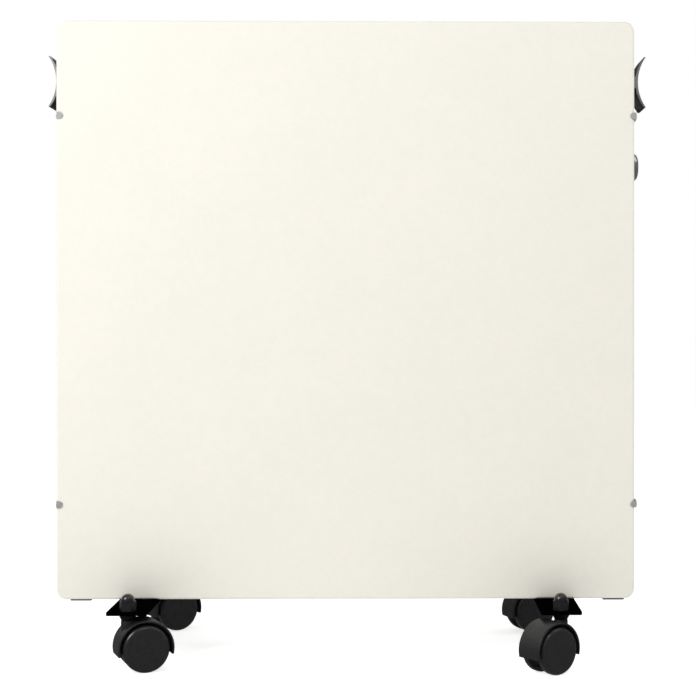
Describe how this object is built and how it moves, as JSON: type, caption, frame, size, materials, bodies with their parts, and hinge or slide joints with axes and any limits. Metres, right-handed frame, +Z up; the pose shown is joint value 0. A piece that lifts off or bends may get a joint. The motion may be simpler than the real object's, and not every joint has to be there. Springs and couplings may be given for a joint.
{
  "type": "storage heater",
  "caption": "Flat square electric storage heater: ivory ceramic slabs on a slim black steel frame with side handles, a thermostat knob and swivel castors.",
  "frame": {"origin": "on the floor, under the middle of the body", "axes": "+X to the right seen from the front, the front slab faces -Y, +Z up"},
  "size_m": [0.5226, 0.2331, 0.5505],
  "materials": {
    "slab_ceramic": "ivory, satin, fine mottled body",
    "seal_rubber": "heat-proof silicone strip",
    "clip_steel": "satin steel strip",
    "screw_steel": "zinc plated",
    "black_steel": "black powder coat, fine texture",
    "handle_black": "black anodised extrusion with bare cut ends",
    "nut_black": "black domed nut, semi-gloss",
    "stem_steel": "black steel",
    "castor_plastic": "charcoal moulded nylon, satin",
    "wheel_plastic": "charcoal wheel, satin",
    "axle_steel": "bright steel",
    "knob_chrome": "chrome plated, polished",
    "shaft_steel": "turned steel",
    "dial_metal": "black anodised disc with plain white numbers",
    "thermostat_plastic": "pale heat-proof plastic",
    "sensor_copper": "copper bulb and capillary",
    "switch_plastic": "black moulded, semi-gloss",
    "rocker_plastic": "black moulded rocker with plain white marks",
    "gland_plastic": "black nylon",
    "storage_brick": "dense fired storage brick",
    "element_steel": "heat-darkened steel tube",
    "bushing_ceramic": "white insulating ceramic",
    "zinc_sheet": "zinc-coated sheet",
    "board_fibre": "pale calcium silicate board",
    "wire_sleeve": "silicone insulated wire"
  },
  "bodies": {
    "cabinet": {"bar_bolts": "black_steel", "bar_nuts": "screw_steel", "bottom_grille": "black_steel", "cable_gland": "gland_plastic", "cap_nuts": "nut_black", "castor_stems": "stem_steel", "clip_screws": "screw_steel", "dial_plate": "dial_metal", "earth_stud": "screw_steel", "element_bushings": "bushing_ceramic", "front_slab": "slab_ceramic", "front_slab_clips": "clip_steel", "front_storage_bricks": "storage_brick", "gland_nut": "gland_plastic", "grille_brackets": "black_steel", "handle_screws": "screw_steel", "heat_shield": "zinc_sheet", "heating_element": "element_steel", "insulation_board": "board_fibre", "internal_wires": "wire_sleeve", "left_castor_bar": "black_steel", "left_channel": "black_steel", "left_handle": "handle_black", "lower_core_rail": "zinc_sheet", "m4_screws": "screw_steel", "rear_slab": "slab_ceramic", "rear_slab_clips": "clip_steel", "rear_storage_bricks": "storage_brick", "right_castor_bar": "black_steel", "right_channel": "black_steel", "right_handle": "handle_black", "sensor_bulb": "sensor_copper", "slab_seals": "seal_rubber", "switch_housing": "switch_plastic", "terminal_block": "bushing_ceramic", "thermal_cutout": "thermostat_plastic", "thermostat_body": "thermostat_plastic", "thermostat_screws": "screw_steel", "top_grille": "black_steel", "upper_core_rail": "zinc_sheet"},
    "knob": {"thermostat_knob": "knob_chrome", "thermostat_shaft": "shaft_steel"},
    "rocker": {"switch_rocker": "rocker_plastic"},
    "front_left_castor": {"front_left_castor_hood": "castor_plastic", "front_left_castor_axle": "axle_steel"},
    "front_left_wheel_a": {"front_left_wheel_a": "wheel_plastic"},
    "front_left_wheel_b": {"front_left_wheel_b": "wheel_plastic"},
    "front_right_castor": {"front_right_castor_hood": "castor_plastic", "front_right_castor_axle": "axle_steel"},
    "front_right_wheel_a": {"front_right_wheel_a": "wheel_plastic"},
    "front_right_wheel_b": {"front_right_wheel_b": "wheel_plastic"},
    "rear_left_castor": {"rear_left_castor_hood": "castor_plastic", "rear_left_castor_axle": "axle_steel"},
    "rear_left_wheel_a": {"rear_left_wheel_a": "wheel_plastic"},
    "rear_left_wheel_b": {"rear_left_wheel_b": "wheel_plastic"},
    "rear_right_castor": {"rear_right_castor_hood": "castor_plastic", "rear_right_castor_axle": "axle_steel"},
    "rear_right_wheel_a": {"rear_right_wheel_a": "wheel_plastic"},
    "rear_right_wheel_b": {"rear_right_wheel_b": "wheel_plastic"}
  },
  "joints": [
    {"name": "knob_turn", "type": "hinge", "parent": "cabinet", "child": "knob", "pos_m": [0.25, 0, 0.4275], "axis": [-1, 0, 0], "range_deg": [0, 270]},
    {"name": "switch_rock", "type": "hinge", "parent": "cabinet", "child": "rocker", "pos_m": [0.2415, 0, 0.38], "axis": [0, 1, 0], "range_deg": [-16, 0]},
    {"name": "front_left_swivel", "type": "hinge", "parent": "cabinet", "child": "front_left_castor", "pos_m": [-0.17975, -0.085, 0.044], "axis": [0, 0, 1], "continuous": true},
    {"name": "front_left_roll_a", "type": "hinge", "parent": "front_left_castor", "child": "front_left_wheel_a", "pos_m": [-0.1676, -0.08011, 0.0197], "axis": [-0.373, 0.9278, 0], "continuous": true},
    {"name": "front_left_roll_b", "type": "hinge", "parent": "front_left_castor", "child": "front_left_wheel_b", "pos_m": [-0.1676, -0.08011, 0.0197], "axis": [-0.373, 0.9278, 0], "continuous": true},
    {"name": "front_right_swivel", "type": "hinge", "parent": "cabinet", "child": "front_right_castor", "pos_m": [0.17975, -0.085, 0.044], "axis": [0, 0, 1], "continuous": true},
    {"name": "front_right_roll_a", "type": "hinge", "parent": "front_right_castor", "child": "front_right_wheel_a", "pos_m": [0.16941, -0.09305, 0.0197], "axis": [0.6143, -0.7891, 0], "continuous": true},
    {"name": "front_right_roll_b", "type": "hinge", "parent": "front_right_castor", "child": "front_right_wheel_b", "pos_m": [0.16941, -0.09305, 0.0197], "axis": [0.6143, -0.7891, 0], "continuous": true},
    {"name": "rear_left_swivel", "type": "hinge", "parent": "cabinet", "child": "rear_left_castor", "pos_m": [-0.17975, 0.085, 0.044], "axis": [0, 0, 1], "continuous": true},
    {"name": "rear_left_roll_a", "type": "hinge", "parent": "rear_left_castor", "child": "rear_left_wheel_a", "pos_m": [-0.16915, 0.0927, 0.0197], "axis": [-0.5878, 0.809, 0], "continuous": true},
    {"name": "rear_left_roll_b", "type": "hinge", "parent": "rear_left_castor", "child": "rear_left_wheel_b", "pos_m": [-0.16915, 0.0927, 0.0197], "axis": [-0.5878, 0.809, 0], "continuous": true},
    {"name": "rear_right_swivel", "type": "hinge", "parent": "cabinet", "child": "rear_right_castor", "pos_m": [0.17975, 0.085, 0.044], "axis": [0, 0, 1], "continuous": true},
    {"name": "rear_right_roll_a", "type": "hinge", "parent": "rear_right_castor", "child": "rear_right_wheel_a", "pos_m": [0.16766, 0.07997, 0.0197], "axis": [0.3843, -0.9232, 0], "continuous": true},
    {"name": "rear_right_roll_b", "type": "hinge", "parent": "rear_right_castor", "child": "rear_right_wheel_b", "pos_m": [0.16766, 0.07997, 0.0197], "axis": [0.3843, -0.9232, 0], "continuous": true}
  ]
}
